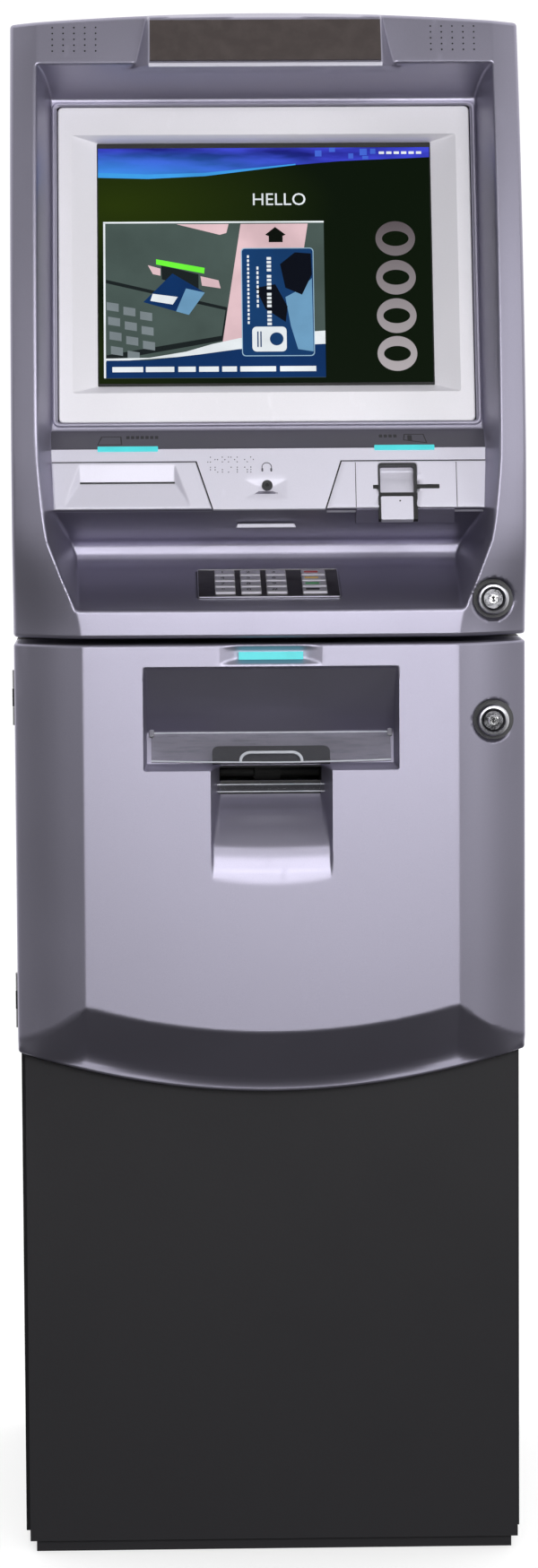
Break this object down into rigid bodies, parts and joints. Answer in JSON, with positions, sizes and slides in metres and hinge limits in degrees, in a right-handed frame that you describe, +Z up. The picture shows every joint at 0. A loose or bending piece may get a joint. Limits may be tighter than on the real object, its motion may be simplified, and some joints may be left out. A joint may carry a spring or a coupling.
{
  "type": "atm machine",
  "caption": "Free-standing cash machine: safe pedestal, hinged lower fascia with cash pocket, hinged upper fascia with leaning screen, keypad shelf, card and receipt mouths.",
  "frame": {"origin": "on the floor under the middle of the machine", "axes": "+Z up, the front with the screen faces -Y, +X to the right seen from the front"},
  "size_m": [0.4636, 0.6215, 1.403],
  "materials": {
    "black_steel": "satin powder coat",
    "grey_steel": "satin",
    "hinge_steel": "brushed",
    "bright_steel": "polished",
    "key_steel": "brushed",
    "silver_plastic": "fine metallic paint",
    "pale_plastic": "fine metallic paint",
    "dark_plastic": "moulded",
    "clear_plastic": "clear",
    "lamp_lens": "lit translucent",
    "sign_glass": "smoked gloss",
    "screen": "display",
    "paper": "paper",
    "rubber": "matte"
  },
  "bodies": {
    "cabinet": {"plinth": "black_steel", "safe_body": "black_steel", "safe_shelf": "grey_steel", "dispenser_frame": "grey_steel", "cash_cassette": "dark_plastic", "head_cabinet": "black_steel", "rear_cover": "black_steel", "power_inlet": "dark_plastic", "computer_unit": "grey_steel", "lower_hinge_pin_top": "hinge_steel", "lower_hinge_pin_bottom": "hinge_steel", "upper_hinge_pin_top": "hinge_steel", "upper_hinge_pin_bottom": "hinge_steel"},
    "feed_roller": {"feed_roller": "rubber"},
    "pinch_roller": {"pinch_roller": "rubber"},
    "safe_door": {"safe_door": "black_steel"},
    "combination_dial": {"combination_dial": "dark_plastic"},
    "safe_handle": {"safe_handle": "bright_steel"},
    "locking_bolt": {"locking_bolt": "bright_steel"},
    "lower_fascia": {"lower_fascia": "silver_plastic", "cash_lip": "clear_plastic", "cash_lamp": "lamp_lens", "lower_lock_ring": "bright_steel"},
    "lower_lock_plug": {"lower_lock_plug": "bright_steel"},
    "cash_flap": {"cash_flap": "clear_plastic"},
    "upper_fascia": {"upper_fascia": "silver_plastic", "sign_panel": "sign_glass", "screen_bezel": "pale_plastic", "lcd_panel": "screen", "speaker_left": "dark_plastic", "speaker_right": "dark_plastic", "receipt_lamp": "lamp_lens", "card_lamp": "lamp_lens", "console_light": "pale_plastic", "receipt_bezel": "pale_plastic", "receipt_printer": "dark_plastic", "card_bezel": "pale_plastic", "card_reader": "dark_plastic", "headphone_jack": "dark_plastic", "keypad_module": "dark_plastic", "upper_lock_ring": "bright_steel"},
    "upper_lock_plug": {"upper_lock_plug": "bright_steel"},
    "paper_roll": {"paper_roll": "paper"},
    "platen_roller": {"platen_roller": "rubber"},
    "key_1": {"key_1": "key_steel"},
    "key_4": {"key_4": "key_steel"},
    "key_7": {"key_7": "key_steel"},
    "key_star": {"key_star": "key_steel"},
    "key_2": {"key_2": "key_steel"},
    "key_5": {"key_5": "key_steel"},
    "key_8": {"key_8": "key_steel"},
    "key_0": {"key_0": "key_steel"},
    "key_3": {"key_3": "key_steel"},
    "key_6": {"key_6": "key_steel"},
    "key_9": {"key_9": "key_steel"},
    "key_hash": {"key_hash": "key_steel"},
    "key_cancel": {"key_cancel": "key_steel"},
    "key_clear": {"key_clear": "key_steel"},
    "key_enter": {"key_enter": "key_steel"},
    "key_blank": {"key_blank": "key_steel"}
  },
  "joints": [
    {"name": "safe_door_hinge", "type": "hinge", "parent": "cabinet", "child": "safe_door", "pos_m": [-0.23, -0.2075, 0.4], "axis": [0, 0, -1], "range_deg": [0, 90]},
    {"name": "lower_fascia_hinge", "type": "hinge", "parent": "safe_door", "child": "lower_fascia", "pos_m": [-0.23, -0.2075, 0.64], "axis": [0, 0, -1], "range_deg": [0, 85]},
    {"name": "upper_fascia_hinge", "type": "hinge", "parent": "cabinet", "child": "upper_fascia", "pos_m": [-0.226, -0.0985, 1.1], "axis": [0, 0, -1], "range_deg": [0, 100]},
    {"name": "combination_dial_turn", "type": "hinge", "parent": "safe_door", "child": "combination_dial", "pos_m": [-0.06, -0.245, 0.56], "axis": [0, -1, 0], "continuous": true},
    {"name": "safe_handle_turn", "type": "hinge", "parent": "safe_door", "child": "safe_handle", "pos_m": [0.07, -0.245, 0.56], "axis": [0, 1, 0], "range_deg": [0, 90]},
    {"name": "locking_bolt_slide", "type": "slide", "parent": "safe_door", "child": "locking_bolt", "axis": [1, 0, 0], "range_m": [0, 0.0142]},
    {"name": "lower_lock_turn", "type": "hinge", "parent": "lower_fascia", "child": "lower_lock_plug", "pos_m": [0.1998, -0.262, 0.767], "axis": [0, 1, 0], "range_deg": [0, 90]},
    {"name": "upper_lock_turn", "type": "hinge", "parent": "upper_fascia", "child": "upper_lock_plug", "pos_m": [0.1998, -0.262, 0.876], "axis": [0, 1, 0], "range_deg": [0, 90]},
    {"name": "cash_flap_hinge", "type": "hinge", "parent": "lower_fascia", "child": "cash_flap", "pos_m": [0, -0.283, 0.757], "axis": [-1, 0, 0], "range_deg": [0, 85]},
    {"name": "feed_roller_turn", "type": "hinge", "parent": "cabinet", "child": "feed_roller", "pos_m": [0, -0.14, 0.7093], "axis": [1, 0, 0], "continuous": true},
    {"name": "pinch_roller_turn", "type": "hinge", "parent": "cabinet", "child": "pinch_roller", "pos_m": [0, -0.14, 0.7277], "axis": [1, 0, 0], "continuous": true},
    {"name": "paper_roll_turn", "type": "hinge", "parent": "upper_fascia", "child": "paper_roll", "pos_m": [-0.1245, -0.058, 1.002], "axis": [1, 0, 0], "continuous": true},
    {"name": "platen_roller_turn", "type": "hinge", "parent": "upper_fascia", "child": "platen_roller", "pos_m": [-0.1245, -0.14, 0.9945], "axis": [1, 0, 0], "continuous": true},
    {"name": "key_1_press", "type": "slide", "parent": "upper_fascia", "child": "key_1", "axis": [0, 0.2419, -0.9703], "range_m": [0, 0.0025], "stiffness_N_per_m": 600, "springref_m": -0.0008},
    {"name": "key_4_press", "type": "slide", "parent": "upper_fascia", "child": "key_4", "axis": [0, 0.2419, -0.9703], "range_m": [0, 0.0025], "stiffness_N_per_m": 600, "springref_m": -0.0008},
    {"name": "key_7_press", "type": "slide", "parent": "upper_fascia", "child": "key_7", "axis": [0, 0.2419, -0.9703], "range_m": [0, 0.0025], "stiffness_N_per_m": 600, "springref_m": -0.0008},
    {"name": "key_star_press", "type": "slide", "parent": "upper_fascia", "child": "key_star", "axis": [0, 0.2419, -0.9703], "range_m": [0, 0.0025], "stiffness_N_per_m": 600, "springref_m": -0.0008},
    {"name": "key_2_press", "type": "slide", "parent": "upper_fascia", "child": "key_2", "axis": [0, 0.2419, -0.9703], "range_m": [0, 0.0025], "stiffness_N_per_m": 600, "springref_m": -0.0008},
    {"name": "key_5_press", "type": "slide", "parent": "upper_fascia", "child": "key_5", "axis": [0, 0.2419, -0.9703], "range_m": [0, 0.0025], "stiffness_N_per_m": 600, "springref_m": -0.0008},
    {"name": "key_8_press", "type": "slide", "parent": "upper_fascia", "child": "key_8", "axis": [0, 0.2419, -0.9703], "range_m": [0, 0.0025], "stiffness_N_per_m": 600, "springref_m": -0.0008},
    {"name": "key_0_press", "type": "slide", "parent": "upper_fascia", "child": "key_0", "axis": [0, 0.2419, -0.9703], "range_m": [0, 0.0025], "stiffness_N_per_m": 600, "springref_m": -0.0008},
    {"name": "key_3_press", "type": "slide", "parent": "upper_fascia", "child": "key_3", "axis": [0, 0.2419, -0.9703], "range_m": [0, 0.0025], "stiffness_N_per_m": 600, "springref_m": -0.0008},
    {"name": "key_6_press", "type": "slide", "parent": "upper_fascia", "child": "key_6", "axis": [0, 0.2419, -0.9703], "range_m": [0, 0.0025], "stiffness_N_per_m": 600, "springref_m": -0.0008},
    {"name": "key_9_press", "type": "slide", "parent": "upper_fascia", "child": "key_9", "axis": [0, 0.2419, -0.9703], "range_m": [0, 0.0025], "stiffness_N_per_m": 600, "springref_m": -0.0008},
    {"name": "key_hash_press", "type": "slide", "parent": "upper_fascia", "child": "key_hash", "axis": [0, 0.2419, -0.9703], "range_m": [0, 0.0025], "stiffness_N_per_m": 600, "springref_m": -0.0008},
    {"name": "key_cancel_press", "type": "slide", "parent": "upper_fascia", "child": "key_cancel", "axis": [0, 0.2419, -0.9703], "range_m": [0, 0.0025], "stiffness_N_per_m": 600, "springref_m": -0.0008},
    {"name": "key_clear_press", "type": "slide", "parent": "upper_fascia", "child": "key_clear", "axis": [0, 0.2419, -0.9703], "range_m": [0, 0.0025], "stiffness_N_per_m": 600, "springref_m": -0.0008},
    {"name": "key_enter_press", "type": "slide", "parent": "upper_fascia", "child": "key_enter", "axis": [0, 0.2419, -0.9703], "range_m": [0, 0.0025], "stiffness_N_per_m": 600, "springref_m": -0.0008},
    {"name": "key_blank_press", "type": "slide", "parent": "upper_fascia", "child": "key_blank", "axis": [0, 0.2419, -0.9703], "range_m": [0, 0.0025], "stiffness_N_per_m": 600, "springref_m": -0.0008}
  ],
  "couplings": [
    {"joint": "locking_bolt_slide", "follows": "safe_handle_turn", "m_per_rad": 0.008913},
    {"joint": "pinch_roller_turn", "follows": "feed_roller_turn", "ratio": -1},
    {"joint": "platen_roller_turn", "follows": "paper_roll_turn", "ratio": 3.8571}
  ]
}
